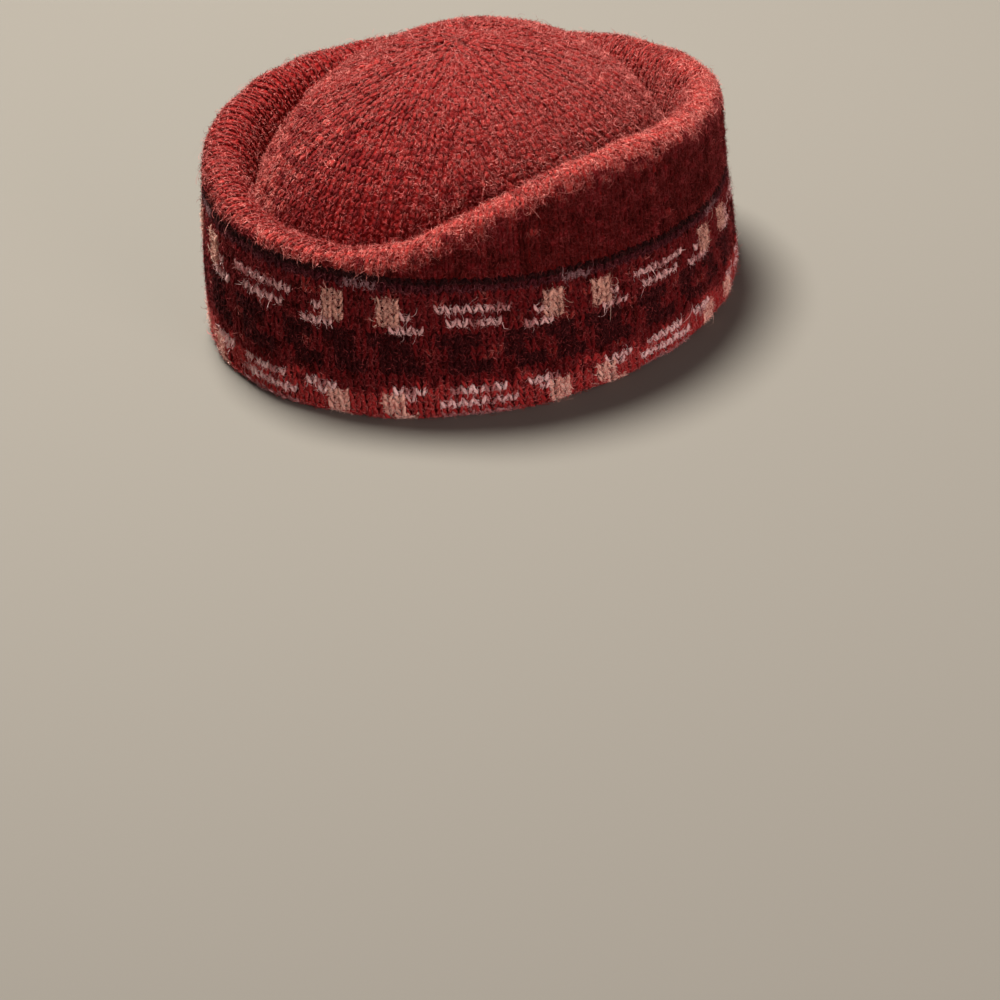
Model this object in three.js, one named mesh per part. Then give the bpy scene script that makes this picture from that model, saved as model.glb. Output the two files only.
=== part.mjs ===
// Knitted pillbox hat: domed crown, rolled brim, patterned band with a turned-in hem.
// Millimetres, +Z up, the hem flat on z = 0, the face side toward -Y.
import * as THREE from "three";

// ---- driving dimensions (mm) -------------------------------------------------------------
const SEMI_FRONT = 101.5;      // half the hat from front to back, at the hem
const SEMI_SIDE = 98.0;        // half the hat from side to side, at the hem
const BAND_HEIGHT = 52.0;      // hem to black line, mean round the hat
const BAND_LIFT = 0.165;       // share by which the band is pulled taller on one side
const BAND_LIFT_AZ = -38;      // azimuth where the band is tallest, from the face toward +X
const LEAN = 0.06;             // the soft body leans by this much per mm, well above the hem
const LEAN_AZ = 125;           // toward this azimuth
const LEAN_START = 25.0;       // height over which the lean sets in
const TAPER = 0.975;           // wall radius at the black line, share of the hem's
const BULGE = 0.006;           // the band swells by this share at mid height
const ROLL_RADIUS = 7.2;       // outer radius of the brim's rolled fold
const BRIM_CLOSE = 0.012;      // the tall part of the brim closes in by this share
const CROWN_TOP = 102.5;       // height of the middle of the crown
const KNIT = 3.0;              // thickness of the brushed knit
const HEM_TURN = 13.0;         // height of the hem's turned-in part
const HEM_THICK = 5.6;         // thickness there, two layers
const HEM_ROUND = 2.2;         // rounding of the hem's outer edge
const GAP = 0.3;               // gap between neighbouring parts
const COLUMNS = 80;            // steps round the hat

// how the brim and the valley inside it run round the hat
// azimuth: degrees from the face toward +X; brim: height above the black line, mm;
// valley_r: radius of the valley, share of the hem's; valley_z: height of the valley, mm
const ROUND_TABLE = [
  { azimuth: -180, brim: 20.5, valley_r: 0.755, valley_z: 51.0 },
  { azimuth: -150, brim: 14.5, valley_r: 0.740, valley_z: 49.5 },
  { azimuth: -120, brim: 15.0, valley_r: 0.735, valley_z: 50.0 },
  { azimuth: -90, brim: 16.0, valley_r: 0.735, valley_z: 52.5 },
  { azimuth: -70, brim: 14.5, valley_r: 0.742, valley_z: 54.5 },
  { azimuth: -50, brim: 12.0, valley_r: 0.762, valley_z: 56.0 },
  { azimuth: -35, brim: 7.5, valley_r: 0.790, valley_z: 56.0 },
  { azimuth: -20, brim: 3.0, valley_r: 0.800, valley_z: 56.0 },
  { azimuth: 0, brim: 2.0, valley_r: 0.805, valley_z: 56.0 },
  { azimuth: 12, brim: 2.0, valley_r: 0.805, valley_z: 56.3 },
  { azimuth: 26, brim: 6.5, valley_r: 0.800, valley_z: 56.5 },
  { azimuth: 36, brim: 15.5, valley_r: 0.800, valley_z: 56.5 },
  { azimuth: 48, brim: 25.0, valley_r: 0.795, valley_z: 56.5 },
  { azimuth: 67, brim: 35.5, valley_r: 0.785, valley_z: 56.5 },
  { azimuth: 86, brim: 38.0, valley_r: 0.780, valley_z: 56.2 },
  { azimuth: 110, brim: 35.0, valley_r: 0.775, valley_z: 55.0 },
  { azimuth: 140, brim: 29.5, valley_r: 0.770, valley_z: 52.5 },
];

const RAD = Math.PI / 180;

// ---- how the shape runs round the hat ----------------------------------------------------
function fromTable(azimuth, column) {
  const rows = ROUND_TABLE, n = rows.length;
  const az = ((azimuth + 180) % 360 + 360) % 360 - 180;
  let i = 0;
  while (i < n - 1 && rows[i + 1].azimuth <= az) i++;
  const x = (k) => rows[((k % n) + n) % n].azimuth + 360 * Math.floor(k / n);
  const y = (k) => rows[((k % n) + n) % n][column];
  const slope = (k) => (y(k + 1) - y(k - 1)) / (x(k + 1) - x(k - 1));
  const d = x(i + 1) - x(i), u = (az - x(i)) / d;
  return (2 * u ** 3 - 3 * u ** 2 + 1) * y(i) + (u ** 3 - 2 * u ** 2 + u) * d * slope(i)
    + (-2 * u ** 3 + 3 * u ** 2) * y(i + 1) + (u ** 3 - u ** 2) * d * slope(i + 1);
}

function hemRadius(az) {
  return 1 / Math.hypot(Math.cos(az * RAD) / SEMI_FRONT, Math.sin(az * RAD) / SEMI_SIDE);
}

function blackLineHeight(az) {
  return BAND_HEIGHT * (1 + BAND_LIFT * Math.cos((az - BAND_LIFT_AZ) * RAD));
}

function wallRadius(az, u) {   // u: 0 at the hem, 1 at the black line
  return hemRadius(az) * (1 - (1 - TAPER) * u ** 1.5 + BULGE * Math.sin(Math.PI * u));
}

// the brim's measures at one azimuth
function brimAt(az) {
  const brim = fromTable(az, "brim");
  const roll = Math.min(ROLL_RADIUS, brim * 0.75 + 2.5);
  const over = brim - roll;
  const straight = 0.5 * (over + Math.sqrt(over * over + 9));
  const close = BRIM_CLOSE * hemRadius(az) * Math.min(straight / 30, 1);
  const base = wallRadius(az, 1), z = blackLineHeight(az);
  return {
    roll, straight, close, base, z,
    top: [base - close - roll, z + straight + roll],
    valley: [fromTable(az, "valley_r") * hemRadius(az), fromTable(az, "valley_z")],
  };
}

// ---- outlines in the (radius, height) plane at one azimuth, outside of the knit ----------
function bandOutline(az) {
  const r0 = hemRadius(az), z1 = blackLineHeight(az) - GAP / 2;
  const line = [[r0 - HEM_ROUND, 0], [r0 - 0.3 * HEM_ROUND, 0.3 * HEM_ROUND]];
  for (const u of [0.05, 0.2, 0.4, 0.6, 0.8, 1]) line.push([wallRadius(az, u), z1 * u]);
  return line;
}

function bandInside(az) {
  const z1 = blackLineHeight(az) - GAP / 2, turn = HEM_TURN / z1, line = [];
  for (const u of [1, 0.75, 0.5]) line.push([wallRadius(az, u) - KNIT, z1 * u]);
  line.push([wallRadius(az, turn) - KNIT, HEM_TURN + 1.2]);
  line.push([wallRadius(az, turn) - HEM_THICK, HEM_TURN]);
  line.push([hemRadius(az) - HEM_THICK, 1.4], [hemRadius(az) - HEM_THICK + 1.4, 0]);
  return line;
}

function brimOutline(az) {
  const b = brimAt(az), line = [];
  for (const k of [0, 0.33, 0.67, 1]) {
    const z = b.z + b.straight * k + (k === 0 ? GAP / 2 : 0);
    line.push([b.base - b.close * Math.sin(Math.PI / 2 * k) ** 2, z]);
  }
  for (const a of [26, 52, 76]) {
    line.push([b.base - b.close - b.roll * (1 - Math.cos(a * RAD)),
      b.z + b.straight + b.roll * Math.sin(a * RAD)]);
  }
  const [r0, z0] = b.top, [r3, z3] = b.valley, w = r0 - r3, d = z0 - z3;
  const points = [[r0, z0], [r0 - 0.6 * w, z0], [r3 + 0.1 * w + 1, z3 + 0.45 * d], [r3, z3]];
  for (const u of [0, 0.2, 0.38, 0.55, 0.72, 0.87, 1]) {
    line.push([0, 1].map((c) => (1 - u) ** 3 * points[0][c] + 3 * (1 - u) ** 2 * u * points[1][c]
      + 3 * (1 - u) * u * u * points[2][c] + u ** 3 * points[3][c]));
  }
  line[line.length - 1][0] += GAP / 2;
  return line;
}

function crownOutline(az) {
  const [r0, z0] = brimAt(az).valley, line = [];
  const height = (q) => (1 - (0.985 * q) ** 2.1) ** 0.6;
  for (const step of [0, 0.1, 0.22, 0.36, 0.5, 0.64, 0.77, 0.89]) {
    const q = Math.cos(step * Math.PI / 2);
    const up = (height(q) - height(1)) / (1 - height(1));
    line.push([r0 * q - (step === 0 ? GAP / 2 : 0), z0 + (CROWN_TOP - z0) * up]);
  }
  return line;
}

// the same line moved to the other face of the knit (to the left of its direction)
function inset(line, thickness) {
  return line.map((p, i) => {
    const a = line[Math.max(i - 1, 0)], b = line[Math.min(i + 1, line.length - 1)];
    const dx = b[0] - a[0], dz = b[1] - a[1], l = Math.hypot(dx, dz);
    return [p[0] - thickness * dz / l, p[1] + thickness * dx / l];
  });
}

// an arc of the knit's thickness under the valley, between two directions in degrees
function underFold(centre, from, to, steps) {
  const line = [];
  for (let i = 0; i <= steps; i++) {
    const a = (from + (to - from) * i / steps) * RAD;
    line.push([centre[0] + KNIT * Math.cos(a), centre[1] + KNIT * Math.sin(a)]);
  }
  return line;
}

// ---- closed bodies -----------------------------------------------------------------------
function place(az, [r, z]) {
  const a = az * RAD, l = LEAN_AZ * RAD, lean = LEAN * z * z / (z + LEAN_START);
  return [r * Math.sin(a) + lean * Math.sin(l), -r * Math.cos(a) - lean * Math.cos(l), z];
}

// a ring swept round the hat: loop(az) gives the closed outline, outside face first
function ringBody(loop) {
  const positions = [], index = [];
  let m = 0;
  for (let j = 0; j < COLUMNS; j++) {
    const az = -180 + 360 * j / COLUMNS, outline = loop(az);
    m = outline.length;
    for (const p of outline) positions.push(...place(az, p));
  }
  for (let j = 0; j < COLUMNS; j++) {
    const k = (j + 1) % COLUMNS;
    for (let i = 0; i < m; i++) {
      const n = (i + 1) % m;
      const a = j * m + i, b = j * m + n, c = k * m + n, d = k * m + i;
      index.push(a, d, c, a, c, b);
    }
  }
  return geometry(positions, index);
}

// the crown: outer(az) from the valley up, inner(az) from the valley up, closed at the middle
function domeBody(outer, inner, topOut, topIn) {
  const positions = [], index = [];
  let m = 0, n = 0;
  for (let j = 0; j < COLUMNS; j++) {
    const az = -180 + 360 * j / COLUMNS, o = outer(az), i = inner(az);
    m = o.length;
    n = i.length;
    for (const p of [...o, ...i]) positions.push(...place(az, p));
  }
  const s = m + n, poleOut = COLUMNS * s, poleIn = poleOut + 1;
  positions.push(...place(0, [0, topOut]), ...place(0, [0, topIn]));
  for (let j = 0; j < COLUMNS; j++) {
    const k = (j + 1) % COLUMNS, A = j * s, B = k * s;
    for (let i = 0; i < m - 1; i++) index.push(A + i, B + i, B + i + 1, A + i, B + i + 1, A + i + 1);
    index.push(A + m - 1, B + m - 1, poleOut);
    for (let i = m; i < s - 1; i++) index.push(A + i, B + i + 1, B + i, A + i, A + i + 1, B + i + 1);
    index.push(A + s - 1, poleIn, B + s - 1);
    index.push(A, A + m, B + m, A, B + m, B);
  }
  return geometry(positions, index);
}

function geometry(positions, index) {
  const g = new THREE.BufferGeometry();
  g.setAttribute("position", new THREE.Float32BufferAttribute(positions, 3));
  g.setIndex(index);
  g.computeVertexNormals();
  return g;
}

function bandLoop(az) {
  return [...bandOutline(az), ...bandInside(az)];
}

function brimLoop(az) {
  const out = brimOutline(az), back = inset(out, KNIT);
  const tip = out[out.length - 1];
  back[0] = [out[0][0] - KNIT, out[0][1]];
  back.pop();
  const fold = underFold(tip, -90, -14, 2);
  fold.pop();
  return [...out, ...fold, ...back.reverse()];
}

function crownInside(az) {
  const out = crownOutline(az), back = inset(out, KNIT);
  const fold = underFold(out[0], -90, -162, 2);
  fold.pop();
  back.shift();
  return [...fold, ...back];
}

function part(name, geometryOf, color) {
  const material = new THREE.MeshStandardMaterial({ color, roughness: 0.95, metalness: 0 });
  material.name = name + "_wool";
  const mesh = new THREE.Mesh(geometryOf, material);
  mesh.name = name;
  return mesh;
}

const hat = new THREE.Group();
hat.name = "pillbox_hat";
hat.add(part("band", ringBody(bandLoop), "#4d161c"));
hat.add(part("brim", ringBody(brimLoop), "#8e2c26"));
hat.add(part("crown", domeBody(crownOutline, crownInside, CROWN_TOP, CROWN_TOP - KNIT), "#8e2c26"));

export default hat;
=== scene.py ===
"""Looks for the knitted pillbox hat: all the stitches of its band, brim and crown, and the nap.

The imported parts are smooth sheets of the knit's thickness. Each is replaced by a thinner backing
sheet that carries the purl side, and on it stand the V stitches in their yarn colours and the
loose fibres that brushing raised. Metres, +Z up, the face side toward -Y.
"""
import math

import bpy
import numpy as np
from mathutils import Matrix, Vector


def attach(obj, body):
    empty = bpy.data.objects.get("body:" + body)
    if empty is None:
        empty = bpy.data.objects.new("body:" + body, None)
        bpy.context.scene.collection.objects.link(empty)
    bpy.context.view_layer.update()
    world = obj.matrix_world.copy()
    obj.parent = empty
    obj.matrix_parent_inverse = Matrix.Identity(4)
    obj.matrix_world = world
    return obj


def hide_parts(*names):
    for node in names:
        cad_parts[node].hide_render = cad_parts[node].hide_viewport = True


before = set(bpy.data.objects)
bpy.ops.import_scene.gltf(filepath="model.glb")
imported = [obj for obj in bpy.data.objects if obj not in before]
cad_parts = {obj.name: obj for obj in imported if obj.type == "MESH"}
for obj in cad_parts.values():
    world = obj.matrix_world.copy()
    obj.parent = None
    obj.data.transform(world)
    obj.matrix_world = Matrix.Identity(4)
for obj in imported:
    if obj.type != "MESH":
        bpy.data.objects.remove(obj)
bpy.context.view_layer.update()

# ---- the hat's shape, with the names and values of the part's source ---------------------
SEMI_FRONT = 0.1015        # half the hat from front to back, at the hem
SEMI_SIDE = 0.0980         # half the hat from side to side, at the hem
BAND_HEIGHT = 0.0520       # hem to black line, mean round the hat
BAND_LIFT = 0.165          # share by which the band is pulled taller on one side
BAND_LIFT_AZ = -38.0       # azimuth where the band is tallest, from the face toward +X
LEAN = 0.06                # the soft body leans by this much per metre, well above the hem
LEAN_AZ = 125.0            # toward this azimuth
LEAN_START = 0.025         # height over which the lean sets in
TAPER = 0.975              # wall radius at the black line, share of the hem's
BULGE = 0.006              # the band swells by this share at mid height
ROLL_RADIUS = 0.0072       # outer radius of the brim's rolled fold
BRIM_CLOSE = 0.012         # the tall part of the brim closes in by this share
CROWN_TOP = 0.1025         # height of the middle of the crown
KNIT = 0.0030              # thickness of the brushed knit
HEM_TURN = 0.013           # height of the hem's turned-in part
HEM_THICK = 0.0056         # thickness there, two layers
HEM_ROUND = 0.0022         # rounding of the hem's outer edge

# azimuth in degrees from the face toward +X, height of the brim above the black line,
# radius of the valley as a share of the hem's, height of the valley
BRIM, VALLEY_R, VALLEY_Z = 1, 2, 3
ROUND_TABLE = np.array([
    (-180, 0.0205, 0.755, 0.0510),
    (-150, 0.0145, 0.740, 0.0495),
    (-120, 0.0150, 0.735, 0.0500),
    (-90, 0.0160, 0.735, 0.0525),
    (-70, 0.0145, 0.742, 0.0545),
    (-50, 0.0120, 0.762, 0.0560),
    (-35, 0.0075, 0.790, 0.0560),
    (-20, 0.0030, 0.800, 0.0560),
    (0, 0.0020, 0.805, 0.0560),
    (12, 0.0020, 0.805, 0.0563),
    (26, 0.0065, 0.800, 0.0565),
    (36, 0.0155, 0.800, 0.0565),
    (48, 0.0250, 0.795, 0.0565),
    (67, 0.0355, 0.785, 0.0565),
    (86, 0.0380, 0.780, 0.0562),
    (110, 0.0350, 0.775, 0.0550),
    (140, 0.0295, 0.770, 0.0525),
])

# ---- the knitting ------------------------------------------------------------------------
WALES = 140                # columns of stitches round the band and the brim
HALF_TURN = 180.0 / WALES  # half a stitch's turn round the hat, degrees
BAND_FOOT = 0.3            # a band stitch's middle lies this share of a row under its row's top
BRIM_ROW = 0.00275         # height of a row in the brim
BRIM_ROWS_MOST = 40        # more rows than the brim has where it is tallest
BRIM_FOOT = 0.9            # the brim's first row stands this many rows above the black line
CROWN_ROWS = 33            # rows from the valley to the middle of the crown
CROWN_SECTORS = 7          # the crown is decreased in this many sectors
CROWN_STITCH = 0.0046      # width of a stitch in the crown
CROWN_START = 20.0         # azimuth where the crown's rings begin
PATTERN_START = 37.0       # where the pattern's first pale block falls round the hat, degrees
SIDE_STRETCH = 8.6         # the stitches are narrower on the tall side of the brim, by up to
SIDE_STRETCH_AZ = 85.0     # this many degrees of drift, around this azimuth

# One repeat of the stranded pattern, top row first, with its first stitch at the middle of a
# pale block. The letters are those of YARNS.
LINE_ROWS = 2              # the black line and the plum row under it
LOWER_ROW = 15             # where the redder ground of the lower motif begins; its yarns are brighter, partly a change of yarn and partly painted light from below
PATTERN = [
    "kkkkkkkkkkkkkkkkkkkk",
    "ggggggggghhhgggggggg",
    "....................",
    ".......tt...tt......",
    "wwww...tt...tt...www",
    "......wtt...ttw.....",
    "www....tt...tt....ww",
    ".....www.....www....",
    "s..sss.sss.ssss..sss",
    "s..sss.sss.ssss..sss",
    "...ss...ss..sss...ss",
    "...ss...ss..sss...ss",
    "ss..sss.sss.ssss..ss",
    "ss..sss.sss.ssss..ss",
    "....................",
    "oooooooooooooooooooo",
    "WWWooWWWoooooWWWooWW",
    "ooooooWTToooTTWooooo",
    "WWWWoooTToooTToooWWW",
    "oooooooTToooTToooooo",
    "ppppoooTTooooTTooppp",
]
YARNS = {"r": "red", "m": "shaded_red", "n": "dark_red", "d": "deep_red", "e": "half_highlight_red",
         "f": "highlight_red", "s": "shadow", ".": "burgundy", "o": "wine", "k": "black", "g": "plum",
         "h": "pale_grey", "p": "faint_pink", "w": "pale_pink", "W": "bright_pink", "t": "tan",
         "T": "cream"}
TANS, PINKS = ["t", "T"], ["w", "W"]

# How the yarns mix, as shares of the single stitches, how the wool has worn, and where the yarns carry
# painted shade and painted highlight
FAINT_SHARE = 0.20         # pinks that are worn faint
RED_SHARE = 0.06           # burgundy stitches that are plain red
DEEP_SHARE = 0.12          # burgundy stitches above the lower motif that are deep red
WINE_START = 13.5          # row where the wine ground begins to take over from burgundy
WINE_FADE = 4.0            # rows over which it does
BLUR = 0.35                # unevenness of a change of yarn in the brim
PATCHES = 0.7              # unevenness of the brim's upright face, by column and by stitch
HIGHLIGHT_AZ = 75.0             # the brim's crest gets paler yarn around this azimuth, a painted highlight
OPEN_AZ = -75.0            # and its ribs lie open around this one
SLACK_AZ = 12.0            # the crown's low front is knit slackly around this azimuth, with darker yarn there as painted shade
SLACK_WIDTH = 40.0         # over about this many degrees either way

# The shape of a stitch: half the width of a leg, and where its foot and its head stand beside
# the stitch's middle (all three as shares of the stitch's width), how far the head sinks
# between two columns (metres), and the length of a leg in rows
ZIGZAG = (0.150, 0.05, 0.43, 0.0006, 1.62)
RIBBED = (0.175, 0.12, 0.19, 0.0012, 1.80)
GRAINED = (0.188, 0.11, 0.22, 0.0010, 1.50)
SLIM = ["h", "p", "w", "W"]        # these yarns are thinner and show as fine zigzags,
SLIM_SHARE = 0.90                  # by this share
STITCH_CREST = 0.0002              # how far the crests stand above the solid's face
YARN_DEPTH = 0.72                  # depth of a leg, share of its width
BACKING_DEPTH = 0.0011             # how far the backing sheet's face lies under the solid's
LOWEST = 0.0002                    # no stitch or fibre goes lower than this
SIDES = 4                          # corners round a leg
RING_PLACES = (0.22, 0.52, 0.82)   # where its rings stand along it
RING_SIZES = (0.85, 1.0, 0.80)     # and their share of the yarn's width
SQUARE = 1.15                      # the corners reach out past the round yarn they stand for

# The loose fibres, felted ends, bent ones and long curls: steps along one, its length, lift
# (radians), curl, half width from and to, and the share in the palest shade
FIBRES = (
    (1, 0.0014, 0.45, 0.0, 0.00008, 0.00016, 0.30),
    (2, 0.0022, 0.40, 2.0, 0.00005, 0.00009, 0.36),
    (6, 0.0052, 0.34, 3.6, 0.00003, 0.00005, 0.35),
)
BAND_FIBRES = (90000, 22000, 3400)     # how many of each kind stand on a part
BRIM_FIBRES = (72000, 17000, 3000)
CROWN_FIBRES = (105000, 15000, 2000)
STRAYS = 0.34              # share of the band's fibres that come from its ground yarn
DARK_SHARE = 0.24          # share of the fibres in the darkest shade

rng = np.random.default_rng(7)
RAD = math.pi / 180.0


# ---- how the shape runs round the hat ----------------------------------------------------
def degrees_from(middle, az):
    """How far each azimuth lies from a middle one, -180 to 180."""
    return (az - middle + 180.0) % 360.0 - 180.0


def from_table(azimuth, column):
    """The table's value at each azimuth, by a smooth curve closed round the hat."""
    turn = np.array([360.0, 0.0, 0.0, 0.0])
    rows = np.concatenate([ROUND_TABLE[-1:] - turn, ROUND_TABLE, ROUND_TABLE[:2] + turn])
    x, y = rows[:, 0], rows[:, column]
    az = degrees_from(0.0, azimuth)
    i = np.searchsorted(x, az, side="right") - 1
    slope = np.zeros(len(x))
    slope[1:-1] = (y[2:] - y[:-2]) / (x[2:] - x[:-2])
    d = x[i + 1] - x[i]
    u = (az - x[i]) / d
    return ((2 * u**3 - 3 * u**2 + 1) * y[i] + (u**3 - 2 * u**2 + u) * d * slope[i]
            + (3 * u**2 - 2 * u**3) * y[i + 1] + (u**3 - u**2) * d * slope[i + 1])


def hem_radius(az):
    """The hem is an ellipse."""
    return 1.0 / np.hypot(np.cos(az * RAD) / SEMI_FRONT, np.sin(az * RAD) / SEMI_SIDE)


def black_line_height(az):
    return BAND_HEIGHT * (1 + BAND_LIFT * np.cos((az - BAND_LIFT_AZ) * RAD))


def wall_radius(az, u):
    """Radius of the band's wall, with u 0 at the hem and 1 at the black line."""
    return hem_radius(az) * (1 - (1 - TAPER) * u**1.5 + BULGE * np.sin(math.pi * u))


def band_line(az, k):
    """The band's outside, from the hem's flat edge (k 0) to the black line (k 1)."""
    arc = 0.07                                 # share of k on the hem's rounding
    angle = np.minimum(k / arc, 1.0) * math.pi / 2
    height = black_line_height(az)
    low = HEM_ROUND / height
    u = low + (1 - low) * np.maximum(k - arc, 0.0) / (1 - arc)
    r = wall_radius(az, u) - HEM_ROUND * (1 - np.sin(angle))
    z = np.where(k < arc, HEM_ROUND * (1 - np.cos(angle)), height * u)
    return r, z


def brim_measures(az):
    """The fold's radius, the upright part's height and how far the brim closes in."""
    brim = from_table(az, BRIM)
    roll = np.minimum(ROLL_RADIUS, brim * 0.75 + 0.0025)
    over = brim - roll
    straight = 0.5 * (over + np.sqrt(over * over + 0.003**2))
    close = BRIM_CLOSE * hem_radius(az) * np.minimum(straight / 0.030, 1.0)
    return roll, straight, close


def brim_line(az, k):
    """The brim's outside, from the black line (k 0) over the fold to the valley (k 1).

    It runs up the upright face, a quarter turn over the fold and down a curved slope.
    """
    face_end, fold_end = 0.3, 0.6
    roll, straight, close = brim_measures(az)
    base, z0 = wall_radius(az, 1.0), black_line_height(az)
    up = np.clip(k / face_end, 0, 1)
    turn = np.clip((k - face_end) / (fold_end - face_end), 0, 1) * math.pi / 2
    down = np.clip((k - fold_end) / (1 - fold_end), 0, 1)
    r_top, z_top = base - close - roll, z0 + straight + roll
    r_low, z_low = from_table(az, VALLEY_R) * hem_radius(az), from_table(az, VALLEY_Z)
    width, depth = r_top - r_low, z_top - z_low
    r = base - close * np.sin(math.pi / 2 * up)**2 - roll * (1 - np.cos(turn))
    z = z0 + straight * up + roll * np.sin(turn)
    slope_r = ((1 - down)**3 * r_top + 3 * (1 - down)**2 * down * (r_top - 0.6 * width)
               + 3 * (1 - down) * down**2 * (r_low + 0.1 * width + 0.001) + down**3 * r_low)
    slope_z = ((1 - down)**3 * z_top + 3 * (1 - down)**2 * down * z_top
               + 3 * (1 - down) * down**2 * (z_low + 0.45 * depth) + down**3 * z_low)
    return np.where(down > 0, slope_r, r), np.where(down > 0, slope_z, z)


def crown_line(az, k):
    """The crown's outside, from the valley (k 0) to its middle (k 1), a soft dome."""
    def height(share):
        return (1 - (0.985 * share)**2.1)**0.6

    q = np.cos(k * math.pi / 2)
    up = (height(q) - height(1.0)) / (1 - height(1.0))
    r_low, z_low = from_table(az, VALLEY_R) * hem_radius(az), from_table(az, VALLEY_Z)
    return r_low * q, z_low + (CROWN_TOP - z_low) * up


def place(az, r, z):
    """A point of the (radius, height) plane at an azimuth, as x, y, z, with the body's lean."""
    lean = LEAN * z * z / (z + LEAN_START)
    return np.stack([r * np.sin(az * RAD) + lean * math.sin(LEAN_AZ * RAD),
                     -r * np.cos(az * RAD) - lean * math.cos(LEAN_AZ * RAD), z], axis=-1)


def unevenness(points):
    """A slow swelling of the soft cloth, 0.6 mm either way at most."""
    x, y, z = points[..., 0], points[..., 1], points[..., 2]
    return 0.0002 * (np.sin(170 * x + 90 * z + 1.3) + np.sin(210 * y - 120 * z + 0.4)
                     + np.sin(120 * x - 260 * y + 2.1))


# ---- where the stitches lie --------------------------------------------------------------
def along_line(line, az, distance_of, samples=90):
    """Points at a distance along the outside: distance_of(length) gives it for each azimuth."""
    k = np.linspace(0, 1, samples)[None, :]
    r, z = line(az[:, None], k)
    step = np.hypot(np.diff(r, axis=1), np.diff(z, axis=1))
    run = np.concatenate([np.zeros((len(az), 1)), np.cumsum(step, axis=1)], axis=1)
    s = np.clip(distance_of(run[:, -1]), 0, run[:, -1] - 1e-9)
    i = np.clip((run <= s[:, None]).sum(axis=1) - 1, 0, samples - 2)
    row = np.arange(len(az))
    f = (s - run[row, i]) / np.maximum(run[row, i + 1] - run[row, i], 1e-12)
    r = r[row, i] * (1 - f) + r[row, i + 1] * f
    z = z[row, i] * (1 - f) + z[row, i + 1] * f
    return place(az, r, z), run[:, -1]


def unit(v):
    return v / np.maximum(np.linalg.norm(v, axis=-1, keepdims=True), 1e-12)


def stitch_frames(line, az, row, distance, half_turn):
    """Each stitch's middle, width, height and its across, along and outward directions.

    distance(row, length) gives a row's distance along the outside, and half_turn is half a
    stitch's turn round the hat in degrees. The parts add each stitch's yarn and the share of
    loose fibres on it (fuzz). Where the knit isn't even they also add how much deeper the
    furrow beside it is (furrow) and how much thicker its yarn (stretch), and the band adds
    the yarn that the strays on it come from (ground).
    """
    def spot(az_shift, row_shift):
        return along_line(line, az + az_shift, lambda length: distance(row + row_shift, length))[0]

    middle = spot(0, 0)
    across = spot(half_turn, 0) - spot(-half_turn, 0)
    along = spot(0, 0.5) - spot(0, -0.5)
    width, height = np.linalg.norm(across, axis=1), np.linalg.norm(along, axis=1)
    across = unit(across)
    out = unit(np.cross(across, along))
    middle = middle + out * unevenness(middle)[:, None]
    return {"middle": middle, "width": width, "height": height,
            "across": across, "along": np.cross(out, across), "out": out}


def wale_azimuth(wale):
    """Where a column of stitches stands: evenly round, drifting closer on the tall side."""
    even = PATTERN_START + wale * 360.0 / WALES
    return even - SIDE_STRETCH * np.sin((even - SIDE_STRETCH_AZ) * RAD)


def lattice(rows):
    """All columns times all rows, as two flat arrays."""
    wale, row = np.meshgrid(np.arange(WALES), np.arange(rows), indexing="ij")
    return wale.ravel(), row.ravel()


def band_stitches():
    """The chart, from the black line down to the hem, with its yarns mixed a little."""
    rows = len(PATTERN)
    wale, row = lattice(rows)
    frames = stitch_frames(band_line, wale_azimuth(wale), -(row + BAND_FOOT),
                           lambda r, length: length * (1 + r / rows), HALF_TURN)
    chart = np.array([list(line) for line in PATTERN])
    yarn = chart[row, wale % len(PATTERN[0])]
    draw = rng.uniform(0, 1, len(yarn))
    yarn = np.where(np.isin(yarn, PINKS) & (draw < FAINT_SHARE), "p", yarn)
    yarn = np.where((yarn == "o") & (draw > (row - WINE_START) / WINE_FADE), ".", yarn)
    yarn = np.where((yarn == ".") & (draw < RED_SHARE), "r", yarn)
    yarn = np.where((yarn == ".") & (draw > 1 - DEEP_SHARE) & (row < LOWER_ROW), "d", yarn)
    frames["yarn"] = yarn
    frames["ground"] = np.select([row < LINE_ROWS, row <= LOWER_ROW], [yarn, "."], "o")
    hem_fuzz = np.where(row == rows - 1, 1.6, 1.0)
    frames["fuzz"] = np.select([np.isin(yarn, TANS), np.isin(yarn, PINKS + ["p"])], [2.4, 1.5], hem_fuzz)
    return frames


def brim_yarns(az, wale, past):
    """Darker yarns on the upright face, a painted shade; red over the fold; paler on the crest, a
    painted highlight.
    """
    count = len(az)
    blurred = past + rng.normal(0, BLUR, count)
    patchy = rng.normal(0, PATCHES, WALES)[wale] + rng.normal(0, PATCHES, count)
    # the upright face takes darker yarns in uneven patches: painted shade under the fold
    face = np.select([patchy > 2.0, patchy > 0.8, patchy > -0.8], ["m", ".", "n"], "d")
    # a painted highlight: paler yarns along the crest, strongest around one azimuth
    painted_highlight = np.cos((az - HIGHLIGHT_AZ) * RAD) + rng.normal(0, BLUR, count)
    painted_highlight = np.where(blurred < 1.0, painted_highlight, -1)
    return np.select([blurred < -1.2, blurred < -0.8, blurred < -0.4, painted_highlight > 0.3, painted_highlight > -0.1],
                     [face, ".", "r", "f", "e"], "r")


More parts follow.
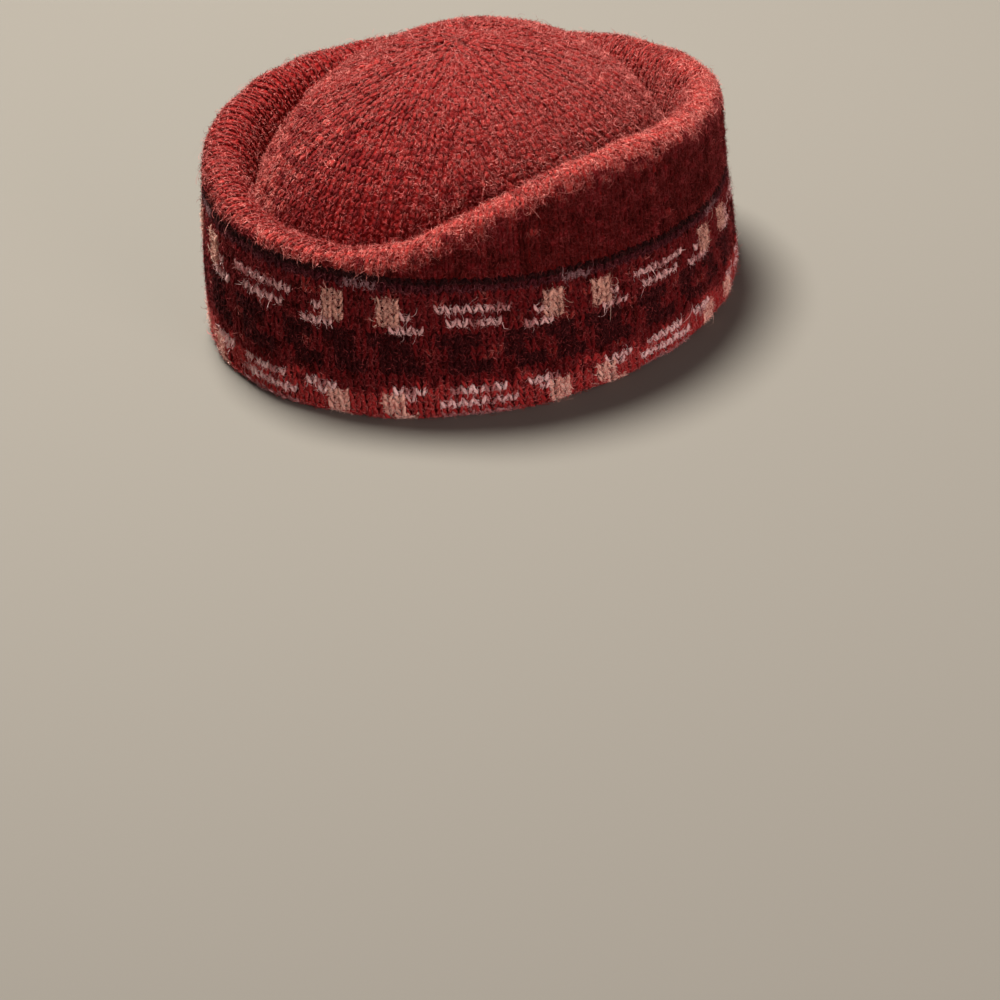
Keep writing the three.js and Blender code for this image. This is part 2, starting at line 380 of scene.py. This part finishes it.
def brim_stitches():
    """Rows from the black line up, over the fold and down to the valley."""
    wale, row = lattice(BRIM_ROWS_MOST)
    az = wale_azimuth(wale)
    length = along_line(brim_line, az, lambda l: l)[1]
    start = (row + BRIM_FOOT) * BRIM_ROW
    kept = start < length - 0.15 * BRIM_ROW
    az, wale, row, start = az[kept], wale[kept], row[kept], start[kept]
    frames = stitch_frames(brim_line, az, row + BRIM_FOOT, lambda r, l: r * BRIM_ROW, HALF_TURN)
    roll, straight, _ = brim_measures(az)
    past = (start - straight) / roll - 1       # -1 where the fold begins, 0 near its crest
    frames["yarn"] = brim_yarns(az, wale, past)
    inside = np.clip(past - 0.3, 0, 1)
    open_ribs = np.clip(np.cos((az - OPEN_AZ) * RAD), 0, 1)
    frames["furrow"] = 1 + 0.6 * inside + 0.9 * open_ribs
    frames["stretch"] = 1 - 0.14 * inside - 0.09 * open_ribs
    frames["fuzz"] = 1 - 0.5 * inside - 0.35 * open_ribs
    return frames


def crown_rings():
    """Azimuth, row and half turn of the crown's stitches, fewer in each sector toward the middle."""
    az, row, turn = [], [], []
    for k in range(CROWN_ROWS):
        spot, _ = along_line(crown_line, np.arange(0.0, 360.0, 4.0),
                             lambda l: l * (k + 0.5) / CROWN_ROWS)
        girth = np.linalg.norm(np.diff(spot, axis=0, append=spot[:1]), axis=1).sum()
        count = max(1, round(girth / CROWN_STITCH / CROWN_SECTORS)) * CROWN_SECTORS
        az.append((np.arange(count) + 0.5) * 360.0 / count + CROWN_START)
        row.append(np.full(count, k + 0.5))
        turn.append(np.full(count, 180.0 / count))
    return np.concatenate(az), np.concatenate(row), np.concatenate(turn)


def crown_stitches():
    """Felted near the valley, paler on one side there (painted highlight); slack with open ribs and
    darker at the low front (painted shade).
    """
    az, row, turn = crown_rings()
    frames = stitch_frames(crown_line, az, row, lambda r, l: l * r / CROWN_ROWS, turn)
    low = (1 - row / CROWN_ROWS)**2
    slack = low * np.exp(-(degrees_from(SLACK_AZ, az) / SLACK_WIDTH)**2)
    felted = low - slack
    # paler yarns low on one side of the crown: a painted highlight
    painted_highlight = felted * (0.5 - 0.5 * np.sin(az * RAD))
    draw = rng.uniform(0, 1, len(az))
    # darker yarns in the slack low front paint the valley's shade; paler ones paint the highlight on one
    # side
    frames["yarn"] = np.select([draw < 0.3 * slack**2, draw < 1.2 * slack,
                                draw > 1 - 0.5 * painted_highlight, draw > 1 - 1.3 * painted_highlight], [".", "m", "f", "e"], "r")
    frames["furrow"] = 0.3 + 3.4 * slack
    frames["stretch"] = 1 + 0.18 * felted - 0.44 * slack
    frames["fuzz"] = 1 + 1.2 * felted - 0.7 * slack
    return frames


# ---- materials ---------------------------------------------------------------------------
YARN_SHEEN = 0.3
FIBRE_SHEEN = 0.2
YARN_RELIEF = 0.0008       # metres, of the fibres on a yarn
PURL_RELIEF = 0.0009       # of the purl bumps on the backing sheet
PURL_SHARE = 0.6           # how much the bumps count beside the fibres


def socket(group, name, kind, side, value=None):
    s = group.interface.new_socket(name=name, in_out=side, socket_type="NodeSocket" + kind)
    if value is not None:
        s.default_value = value
    return s


def brushed_wool_group():
    """Fibre streaks and pale flecks over a yarn's colour, and the relief of the fibres."""
    g = bpy.data.node_groups.new("brushed_wool", "ShaderNodeTree")
    socket(g, "Yarn Colour", "Color", "INPUT", (0.3, 0.05, 0.04, 1))
    socket(g, "Fibre Colour", "Color", "INPUT", (0.5, 0.2, 0.15, 1))
    socket(g, "Flecks", "Float", "INPUT", 0.4)
    socket(g, "Colour", "Color", "OUTPUT")
    socket(g, "Relief", "Float", "OUTPUT")
    n, link = g.nodes, g.links.new
    into, out = n.new("NodeGroupInput"), n.new("NodeGroupOutput")
    where = n.new("ShaderNodeTexCoord")
    bend = n.new("ShaderNodeTexNoise")
    bend.inputs["Scale"].default_value = 420
    bend.inputs["Detail"].default_value = 2
    bent = n.new("ShaderNodeVectorMath")
    bent.operation = "MULTIPLY_ADD"
    bent.inputs[1].default_value = (0.0016, 0.0016, 0.0016)
    fibre = n.new("ShaderNodeTexNoise")
    fibre.inputs["Scale"].default_value = 1500
    fibre.inputs["Detail"].default_value = 3
    fibre.inputs["Roughness"].default_value = 0.65
    tone = n.new("ShaderNodeTexNoise")
    tone.inputs["Scale"].default_value = 620
    tone.inputs["Detail"].default_value = 3
    fleck = n.new("ShaderNodeMapRange")
    fleck.inputs["From Min"].default_value = 0.50
    fleck.inputs["From Max"].default_value = 0.72
    amount = n.new("ShaderNodeMath")
    amount.operation = "MULTIPLY"
    paler = n.new("ShaderNodeMix")
    paler.data_type = "RGBA"
    shade = n.new("ShaderNodeMapRange")
    shade.inputs["From Min"].default_value = 0.3
    shade.inputs["From Max"].default_value = 0.7
    shade.inputs["To Min"].default_value = 0.74
    shade.inputs["To Max"].default_value = 1.14
    shaded = n.new("ShaderNodeVectorMath")
    shaded.operation = "SCALE"
    link(where.outputs["Object"], bend.inputs["Vector"])
    link(bend.outputs["Color"], bent.inputs[0])
    link(where.outputs["Object"], bent.inputs[2])
    link(bent.outputs["Vector"], fibre.inputs["Vector"])
    link(where.outputs["Object"], tone.inputs["Vector"])
    link(fibre.outputs["Fac"], fleck.inputs["Value"])
    link(fleck.outputs["Result"], amount.inputs[0])
    link(into.outputs["Flecks"], amount.inputs[1])
    link(amount.outputs["Value"], paler.inputs["Factor"])
    link(into.outputs["Yarn Colour"], paler.inputs["A"])
    link(into.outputs["Fibre Colour"], paler.inputs["B"])
    link(tone.outputs["Fac"], shade.inputs["Value"])
    link(paler.outputs["Result"], shaded.inputs[0])
    link(shade.outputs["Result"], shaded.inputs["Scale"])
    link(shaded.outputs["Vector"], out.inputs["Colour"])
    link(fibre.outputs["Fac"], out.inputs["Relief"])
    return g


def wool_material(name, group, yarn, fibre, flecks, sheen=YARN_SHEEN, relief=YARN_RELIEF):
    """A yarn: its colour, the colour of its loose fibres and how much they show."""
    m = bpy.data.materials.new(name)
    m.use_nodes = True
    n, link = m.node_tree.nodes, m.node_tree.links.new
    shader = n["Principled BSDF"]
    wool = n.new("ShaderNodeGroup")
    wool.node_tree = group
    wool.inputs["Yarn Colour"].default_value = (*yarn, 1)
    wool.inputs["Fibre Colour"].default_value = (*fibre, 1)
    wool.inputs["Flecks"].default_value = flecks
    bump = n.new("ShaderNodeBump")
    bump.inputs["Strength"].default_value = 0.7
    bump.inputs["Distance"].default_value = relief
    link(wool.outputs["Colour"], shader.inputs["Base Color"])
    link(wool.outputs["Relief"], bump.inputs["Height"])
    link(bump.outputs["Normal"], shader.inputs["Normal"])
    finish_wool(shader, fibre, sheen)
    return m


def finish_wool(shader, tint, sheen):
    """Dull, with a soft sheen in the fibres' colour."""
    shader.inputs["Roughness"].default_value = 0.8
    shader.inputs["Specular IOR Level"].default_value = 0.06
    shader.inputs["Sheen Weight"].default_value = sheen
    shader.inputs["Sheen Roughness"].default_value = 0.45
    shader.inputs["Sheen Tint"].default_value = (*tint, 1)


def fibre_material(name, colour):
    """Loose fibres: one plain colour."""
    m = bpy.data.materials.new(name)
    m.use_nodes = True
    shader = m.node_tree.nodes["Principled BSDF"]
    shader.inputs["Base Color"].default_value = (*colour, 1)
    finish_wool(shader, colour, FIBRE_SHEEN)
    return m


# yarn: colour, loose fibres' colour, flecks
YARN_COLOURS = {
    "red": ((0.204, 0.0092, 0.0084), (0.50, 0.146, 0.130), 0.46),
    # the next is a darker red for painted shade on the brim's upright face and the crown's low front
    "shaded_red": ((0.160, 0.0058, 0.0058), (0.38, 0.080, 0.076), 0.36),
    # the next two are paler reds for a painted highlight on the brim's crest and on one side of the
    # crown
    "half_highlight_red": ((0.264, 0.0150, 0.0132), (0.59, 0.185, 0.160), 0.49),
    "highlight_red": ((0.330, 0.0212, 0.0184), (0.68, 0.225, 0.192), 0.52),
    # the next two are dark reds for painted shade on the brim's upright face; deep_red also darkens some
    # band stitches at random
    "dark_red": ((0.078, 0.0024, 0.0026), (0.21, 0.030, 0.029), 0.38),
    "deep_red": ((0.047, 0.0012, 0.0012), (0.15, 0.018, 0.016), 0.40),
    "burgundy": ((0.120, 0.0040, 0.0054), (0.29, 0.046, 0.047), 0.35),
    # wine, bright_pink and cream, the lower motif's yarns, are brighter, partly painted light from below
    "wine": ((0.370, 0.0190, 0.0200), (0.62, 0.140, 0.130), 0.40),
    "black": ((0.014, 0.0028, 0.0032), (0.08, 0.020, 0.020), 0.25),
    "shadow": ((0.029, 0.0026, 0.0032), (0.11, 0.020, 0.022), 0.30),
    "plum": ((0.050, 0.0050, 0.0080), (0.19, 0.050, 0.058), 0.40),
    "pale_grey": ((0.200, 0.085, 0.092), (0.46, 0.250, 0.260), 0.40),
    "pale_pink": ((0.820, 0.450, 0.440), (0.94, 0.640, 0.620), 0.40),
    "bright_pink": ((1.000, 0.620, 0.610), (1.00, 0.780, 0.760), 0.40),
    "faint_pink": ((0.450, 0.160, 0.160), (0.72, 0.400, 0.390), 0.40),
    "tan": ((0.760, 0.375, 0.290), (0.88, 0.560, 0.460), 0.40),
    "cream": ((1.000, 0.520, 0.420), (1.00, 0.720, 0.620), 0.40),
}


def yarn_materials(group):
    return {name: wool_material(name + "_wool", group, *spec) for name, spec in YARN_COLOURS.items()}


def fibre_materials():
    """Three shades of loose fibre for each yarn, the darkest first."""
    shades = {}
    for name, (yarn, fibre, _) in YARN_COLOURS.items():
        half = tuple(0.5 * (a + b) for a, b in zip(yarn, fibre))
        shades[name] = [fibre_material(name + "_fibre_dark", tuple(0.8 * a for a in yarn)),
                        fibre_material(name + "_fibre", half),
                        fibre_material(name + "_fibre_pale", fibre)]
    return shades


def backing_material(group, name, yarn, fibre):
    """The purl side: bumps in rows, wool all over."""
    m = wool_material(name, group, yarn, fibre, flecks=0.3, sheen=0.0, relief=PURL_RELIEF)
    n, link = m.node_tree.nodes, m.node_tree.links.new
    rows = n.new("ShaderNodeUVMap")
    rows.uv_map = "Rows"
    split = n.new("ShaderNodeSeparateXYZ")
    link(rows.outputs["UV"], split.inputs["Vector"])
    purl = n.new("ShaderNodeMath")
    purl.operation = "MULTIPLY"
    for i, direction in enumerate("XY"):
        turn = n.new("ShaderNodeMath")
        turn.operation = "MULTIPLY"
        turn.inputs[1].default_value = 2 * math.pi
        wave = n.new("ShaderNodeMath")
        wave.operation = "SINE"
        link(split.outputs[direction], turn.inputs[0])
        link(turn.outputs["Value"], wave.inputs[0])
        link(wave.outputs["Value"], purl.inputs[i])
    both = n.new("ShaderNodeMath")
    both.operation = "MULTIPLY_ADD"
    both.inputs[1].default_value = PURL_SHARE
    wool = next(x for x in n if x.type == "GROUP")
    bump = next(x for x in n if x.type == "BUMP")
    link(purl.outputs["Value"], both.inputs[0])
    link(wool.outputs["Relief"], both.inputs[2])
    link(both.outputs["Value"], bump.inputs["Height"])
    return m


# ---- meshes ------------------------------------------------------------------------------
def mesh_piece(name, points, faces, materials, slots=None, uv=None, rows=None):
    """A smooth mesh piece on the hat's one body, with its maps and material slots."""
    mesh = bpy.data.meshes.new(name)
    mesh.from_pydata(points.tolist(), [], faces)
    for m in materials:
        mesh.materials.append(m)
    if slots is not None:
        mesh.polygons.foreach_set("material_index", np.asarray(slots, dtype=np.int32))
    for title, corners in (("OFBake", uv), ("Rows", rows)):
        if corners is not None:
            layer = mesh.uv_layers.new(name=title)
            layer.data.foreach_set("uv", np.asarray(corners, dtype=np.float32).ravel())
    mesh.polygons.foreach_set("use_smooth", np.ones(len(mesh.polygons), dtype=bool))
    mesh.update()
    piece = bpy.data.objects.new(name, mesh)
    bpy.context.scene.collection.objects.link(piece)
    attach(piece, "root")
    return piece


def inset(r, z, depth):
    """An outline moved to its left by a depth, which is inward for lines that run up the outside."""
    dr, dz = np.gradient(r, axis=1), np.gradient(z, axis=1)
    length = np.maximum(np.hypot(dr, dz), 1e-12)
    return r - depth * dz / length, z + depth * dr / length


SHEET_FOOT = 0.0008        # height of the backing sheet's lowest edge
VALLEY_BLEND = 0.08        # share of the outline over which a sheet meets the valley's line


def sheet_loops(line, samples, hem, valley_end):
    """The sheet's section at each column: along the outside, then back along the inside."""
    az = np.arange(WALES) * 360.0 / WALES
    k = np.linspace(0, 1, samples)[None, :]
    if valley_end == 0:
        k = k * 0.999                          # the crown's sheet stops just short of its pole
    r, z = line(az[:, None], k)
    swell = unevenness(place(az[:, None], r, z))
    out_r, out_z = inset(r, z, BACKING_DEPTH - swell)
    in_r, in_z = inset(r, z, np.full_like(r, KNIT))
    if valley_end is not None:
        near = np.clip(1 - np.abs(k - valley_end) / VALLEY_BLEND, 0, 1)
        low_r, low_z = from_table(az, VALLEY_R) * hem_radius(az), from_table(az, VALLEY_Z)
        for face_r, face_z, depth in ((out_r, out_z, BACKING_DEPTH), (in_r, in_z, KNIT)):
            face_r += (low_r[:, None] - face_r) * near
            face_z += (low_z[:, None] - depth - face_z) * near
    if hem:
        turned = z < HEM_TURN
        out_z = np.maximum(out_z, SHEET_FOOT)
        in_r = np.where(turned, hem_radius(az)[:, None] - HEM_THICK, in_r)
        in_z = np.where(turned, np.maximum(z, SHEET_FOOT), z)
    loop_r = np.concatenate([out_r, in_r[:, ::-1]], axis=1)
    loop_z = np.concatenate([out_z, in_z[:, ::-1]], axis=1)
    return place(az[:, None], loop_r, loop_z)


def backing_sheet(name, line, material, samples, girth_rows, hem=False, valley_end=None):
    """The sheet under the stitches, from just under the outside to the solid's inside.

    samples is the number of points along its outline, girth_rows the number of purl rows
    round its section, hem turns its edge in, and valley_end is the end of the outline (0 or
    1) that lies in the valley.
    """
    points = sheet_loops(line, samples, hem, valley_end)
    m = points.shape[1]
    faces, uv, rows = [], [], []
    for j in range(WALES):
        nxt = (j + 1) % WALES
        for i in range(m):
            up = (i + 1) % m
            faces.append((j * m + i, nxt * m + i, nxt * m + up, j * m + up))
            u0, u1, v0, v1 = j / WALES, (j + 1) / WALES, i / m, (i + 1) / m
            uv += [(u0, v0), (u1, v0), (u1, v1), (u0, v1)]
            rows += [(j, v0 * girth_rows), (j + 1, v0 * girth_rows),
                     (j + 1, v1 * girth_rows), (j, v1 * girth_rows)]
    return mesh_piece(name, points.reshape(-1, 3), faces, [material], uv=uv, rows=rows)


def stitch_legs(frames, yarn, foot, spread, groove, reach):
    """Two legs of yarn for each stitch, leaning out from its foot; its shape is as in ZIGZAG."""
    count = len(frames["middle"])
    groove = groove * frames.get("furrow", 1.0)
    yarn = yarn * frames.get("stretch", 1.0) * np.where(np.isin(frames["yarn"], SLIM), SLIM_SHARE, 1.0)
    spin = np.linspace(0, 2 * math.pi, SIDES, endpoint=False) + math.pi / SIDES

    def jitter(size):
        return rng.normal(0, size, count)

    width = frames["width"] * (1 + jitter(0.04))
    height = frames["height"] * (1 + jitter(0.04))
    tilt = jitter(0.07)

    def path(t, side, bend, thick, shift, sink):
        """A leg's middle line: its foot (t 0) tucks in and its head (t 1) sinks in the furrow."""
        x = side * width * (foot + (spread - foot) * t + bend * t * (1 - t)) + shift
        y = height * (reach * (t - 0.46))
        z = STITCH_CREST - thick * YARN_DEPTH + sink - 0.0004 * (1 - t)**4 - groove * t**3
        return np.stack([x - tilt * y, y + tilt * x, z], axis=1)

    legs = []
    for side in (-1.0, 1.0):
        thick = yarn * width * (1 + jitter(0.12))
        course = (side, 0.12 + jitter(0.10), thick, jitter(0.00012), jitter(0.00022))
        ends = [path(t, *course) for t in (0.0, 1.0)]
        run = unit(ends[1] - ends[0])
        beside = unit(np.stack([run[:, 1], -run[:, 0], np.zeros(count)], axis=1))
        leg = [ends[0]]
        for where, size in zip(RING_PLACES, RING_SIZES):
            middle = path(where, *course) + rng.normal(0, 0.00010, (count, 3))
            size = size * (1 + jitter(0.10))
            for a in spin:
                corner = beside * math.cos(a) + np.array([0, 0, YARN_DEPTH]) * math.sin(a)
                leg.append(middle + corner * (thick * size * SQUARE)[:, None])
        leg.append(ends[1])
        legs.append(np.stack(leg, axis=1))
    local = np.stack(legs, axis=1)             # stitch, leg, corner, xyz
    across, along, out = (frames[k][:, None, None, :] for k in ("across", "along", "out"))
    world = (frames["middle"][:, None, None, :] + across * local[..., 0:1]
             + along * local[..., 1:2] + out * local[..., 2:3])
    world[..., 2] = np.maximum(world[..., 2], LOWEST)
    return world.reshape(count * 2, -1, 3)


def leg_faces():
    """Faces of one leg and their corners on its own small map."""
    rings, faces, maps = len(RING_PLACES), [], []
    levels = (0.0, *RING_PLACES, 1.0)
    last = 1 + rings * SIDES
    for k in range(SIDES):
        n = (k + 1) % SIDES
        u0, u1 = k / SIDES, (k + 1) / SIDES
        faces.append((0, 1 + n, 1 + k))
        maps.append([((u0 + u1) / 2, levels[0]), (u1, levels[1]), (u0, levels[1])])
        for j in range(rings - 1):
            a, b = 1 + j * SIDES, 1 + (j + 1) * SIDES
            faces.append((a + k, a + n, b + n, b + k))
            v0, v1 = levels[j + 1], levels[j + 2]
            maps.append([(u0, v0), (u1, v0), (u1, v1), (u0, v1)])
        a = 1 + (rings - 1) * SIDES
        faces.append((a + k, a + n, last))
        maps.append([(u0, levels[-2]), (u1, levels[-2]), ((u0 + u1) / 2, levels[-1])])
    return faces, maps


def stitch_piece(name, frames, materials, shape):
    """The stitches of one part in their yarn colours, each leg on its own small cell of the map."""
    legs = stitch_legs(frames, *shape)
    used = sorted(set(frames["yarn"]))
    slot_of = {letter: i for i, letter in enumerate(used)}
    slot = np.repeat([slot_of[y] for y in frames["yarn"]], 2)
    leg_corners, leg_maps = leg_faces()
    corners = legs.shape[1]
    faces, slots, uv = [], [], []
    grid = math.ceil(math.sqrt(len(legs)))
    cell, margin = 1.0 / grid, 0.06
    inner = cell * (1 - 2 * margin)
    for i in range(len(legs)):
        base, leg_slot = i * corners, int(slot[i])
        u0, v0 = (i % grid + margin) * cell, (i // grid + margin) * cell
        for face, spots in zip(leg_corners, leg_maps):
            faces.append(tuple(base + c for c in face))
            slots.append(leg_slot)
            uv += [(u0 + inner * u, v0 + inner * v) for u, v in spots]
    return mesh_piece(name, legs.reshape(-1, 3), faces, [materials[YARNS[y]] for y in used],
                      slots=slots, uv=uv)


def fibre_spots(frames, count, steps, length, lift, curl):
    """The run of each loose fibre: it leaves its stitch, rises, bends and lies down again."""
    share = frames["fuzz"]
    pick = rng.choice(len(share), count, p=share / share.sum())
    own = {k: frames[k][pick] for k in ("middle", "across", "along", "out", "width", "height")}
    start = (own["middle"] + own["across"] * (rng.uniform(-0.5, 0.5, count) * own["width"])[:, None]
             + own["along"] * (rng.uniform(-0.6, 0.6, count) * own["height"])[:, None]
             + own["out"] * rng.uniform(-0.0007, 0.0001, count)[:, None])
    long = rng.lognormal(math.log(length), 0.30, count)
    heading = rng.uniform(0, 2 * math.pi, count)
    bend = rng.normal(0, curl, count)
    rise = np.abs(rng.normal(lift, 0.30, count))
    fall = (rng.uniform(0.8, 2.0, count) * rise + 0.3) / steps
    spots = [start]
    for i in range(steps):
        turn = heading + (bend * i + rng.normal(0, 0.6, count)) / steps
        up = rise - fall * i
        flat = own["across"] * np.cos(turn)[:, None] + own["along"] * np.sin(turn)[:, None]
        step = flat * np.cos(up)[:, None] + own["out"] * np.sin(up)[:, None]
        spots.append(spots[-1] + step * (long / steps)[:, None])
    return pick, np.stack(spots, axis=1)


def ribbons(spots, thin, thick):
    """A thin ribbon along each fibre, ending in a point: its points and faces."""
    count, levels = spots.shape[:2]
    wide = rng.uniform(thin, thick, count)
    run = np.gradient(spots, axis=1)[:, :-1]
    beside = unit(np.cross(run, rng.normal(0, 1, (count, 1, 3)))) * wide[:, None, None]
    pairs = np.stack([spots[:, :-1] - beside, spots[:, :-1] + beside], axis=2)
    points = np.concatenate([pairs.reshape(count, -1, 3), spots[:, -1:]], axis=1)
    points[..., 2] = np.maximum(points[..., 2], LOWEST)
    per = 2 * levels - 1
    faces = []
    for i in range(levels - 2):
        faces += [(2 * i, 2 * i + 1, 2 * i + 3), (2 * i, 2 * i + 3, 2 * i + 2)]
    faces.append((per - 3, per - 2, per - 1))
    all_faces = (np.arange(count) * per)[:, None, None] + np.array(faces)[None]
    return points.reshape(-1, 3), all_faces.reshape(-1, 3), len(faces)


def wool_nap(name, frames, counts, shades):
    """The brushed surface: felted fibre ends, bent fibres and some long curls, by yarn colour.

    Some of the band's fibres are the ground yarn's, drawn over the pattern by the brushing.
    """
    letters = sorted(set(frames["yarn"]))
    number = np.array([letters.index(y) for y in frames["yarn"]])
    ground = np.array([letters.index(y) for y in frames.get("ground", frames["yarn"])])
    points, faces, slots, base = [], [], [], 0
    for count, (steps, length, lift, curl, thin, thick, pale) in zip(counts, FIBRES):
        pick, spots = fibre_spots(frames, count, steps, length, lift, curl)
        some, triangles, each = ribbons(spots, thin, thick)
        points.append(some)
        faces.append(triangles + base)
        base += len(some)
        of_yarn = np.where(rng.uniform(0, 1, count) < STRAYS, ground[pick], number[pick])
        draw = rng.uniform(0, 1, count)
        tone = np.where(draw < DARK_SHARE, 0, np.where(draw > 1 - pale, 2, 1))
        slots.append(np.repeat(of_yarn * 3 + tone, each))
    materials = [m for y in letters for m in shades[YARNS[y]]]
    return mesh_piece(name, np.concatenate(points), np.concatenate(faces).tolist(), materials,
                      slots=np.concatenate(slots))


# ---- the hat -----------------------------------------------------------------------------
def dress(node, frames, shape, yarns, fibres, counts):
    """Puts the stitches and the nap on a backing sheet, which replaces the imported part."""
    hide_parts(node)
    share = 1.0
    knit = stitch_piece(node + "_stitches", frames, yarns, shape)
    nap = wool_nap(node + "_nap", frames, [int(n * share) for n in counts], fibres)


def build_band(yarns, fibres, back):
    sheet = backing_sheet("band_backing", band_line, back, samples=26, girth_rows=40, hem=True)
    dress("band", band_stitches(), ZIGZAG, yarns, fibres, BAND_FIBRES)


def build_brim(yarns, fibres, back):
    sheet = backing_sheet("brim_backing", brim_line, back, samples=36, girth_rows=50, valley_end=1)
    dress("brim", brim_stitches(), RIBBED, yarns, fibres, BRIM_FIBRES)


def build_crown(yarns, fibres, back):
    sheet = backing_sheet("crown_backing", crown_line, back, samples=30, girth_rows=66, valley_end=0)
    dress("crown", crown_stitches(), GRAINED, yarns, fibres, CROWN_FIBRES)


def build_hat():
    """The yarns and fibres first, then band, brim and crown, which share one run of chance."""
    group = brushed_wool_group()
    yarns, fibres = yarn_materials(group), fibre_materials()
    red_back = backing_material(group, "red_purl_side", (0.200, 0.0060, 0.0058), (0.34, 0.040, 0.036))
    dark_back = backing_material(group, "band_purl_side", (0.055, 0.0030, 0.0040), (0.16, 0.020, 0.022))
    build_band(yarns, fibres, dark_back)
    build_brim(yarns, fibres, red_back)
    build_crown(yarns, fibres, red_back)


# ---- floor, light and camera -------------------------------------------------------------
FLOOR_HALF = 6.0


def build_stage():
    m = bpy.data.materials.new("pale_floor")
    m.use_nodes = True
    shader = m.node_tree.nodes["Principled BSDF"]
    shader.inputs["Base Color"].default_value = (0.160, 0.141, 0.124, 1)
    shader.inputs["Roughness"].default_value = 0.85
    shader.inputs["Specular IOR Level"].default_value = 0.15
    mesh = bpy.data.meshes.new("floor")
    s = FLOOR_HALF
    mesh.from_pydata([(-s, -s, 0), (s, -s, 0), (s, s, 0), (-s, s, 0)], [], [(0, 1, 2, 3)])
    mesh.materials.append(m)
    floor = bpy.data.objects.new("floor", mesh)
    bpy.context.scene.collection.objects.link(floor)


def soft_light(name, spot, target, size, power, colour):
    """A round lamp at a spot, turned to its target; size in metres, power in watts."""
    light = bpy.data.lights.new(name, "AREA")
    light.shape = "DISK"
    light.size = size
    light.energy = power
    light.color = colour
    lamp = bpy.data.objects.new(name, light)
    lamp.location = spot
    lamp.rotation_euler = (Vector(target) - Vector(spot)).to_track_quat("-Z", "Y").to_euler()
    bpy.context.scene.collection.objects.link(lamp)


def build_light():
    soft_light("overhead", (-0.44, 0.18, 1.52), (0, 0, 0.05), 0.60, 79, (0.98, 1.0, 0.93))
    soft_light("fill", (2.28, -0.61, 0.66), (0, 0, 0.03), 0.95, 32.5, (1.0, 0.88, 0.86))
    world = bpy.data.worlds.new("room")
    world.use_nodes = True
    sky = world.node_tree.nodes["Background"]
    sky.inputs["Color"].default_value = (1.0, 0.84, 0.80, 1)
    sky.inputs["Strength"].default_value = 0.18
    bpy.context.scene.world = world
    bpy.context.scene.view_settings.view_transform = "Standard"


CAMERA_AZIMUTH = 45.0        # from the face toward +X
CAMERA_ELEVATION = 26.0
CAMERA_DISTANCE = 1.433
CAMERA_MIDDLE = 0.039        # height of the point it stands round
CAMERA_DIP = 30.6            # how far the lens points below the horizon
CAMERA_ROLL = 7.0
LENS = 137.5                 # millimetres, for the 36 mm sensor


def build_camera():
    """It stands round the hat's middle, looks back along its own azimuth and dips."""
    middle = Vector((0, 0, CAMERA_MIDDLE))
    a, e = CAMERA_AZIMUTH * RAD, CAMERA_ELEVATION * RAD
    spot = middle + CAMERA_DISTANCE * Vector((math.sin(a) * math.cos(e), -math.cos(a) * math.cos(e),
                                              math.sin(e)))
    d = CAMERA_DIP * RAD
    forward = Vector((-math.sin(a) * math.cos(d), math.cos(a) * math.cos(d), -math.sin(d)))
    data = bpy.data.cameras.new("camera")
    data.lens = LENS
    data.sensor_width = 36.0
    data.clip_end = 50.0
    camera = bpy.data.objects.new("camera", data)
    level = forward.to_track_quat("-Z", "Y").to_matrix().to_4x4()
    camera.matrix_world = Matrix.Translation(spot) @ level @ Matrix.Rotation(-CAMERA_ROLL * RAD, 4, "Z")
    bpy.context.scene.collection.objects.link(camera)
    bpy.context.scene.camera = camera


build_hat()
build_stage()
build_light()
build_camera()
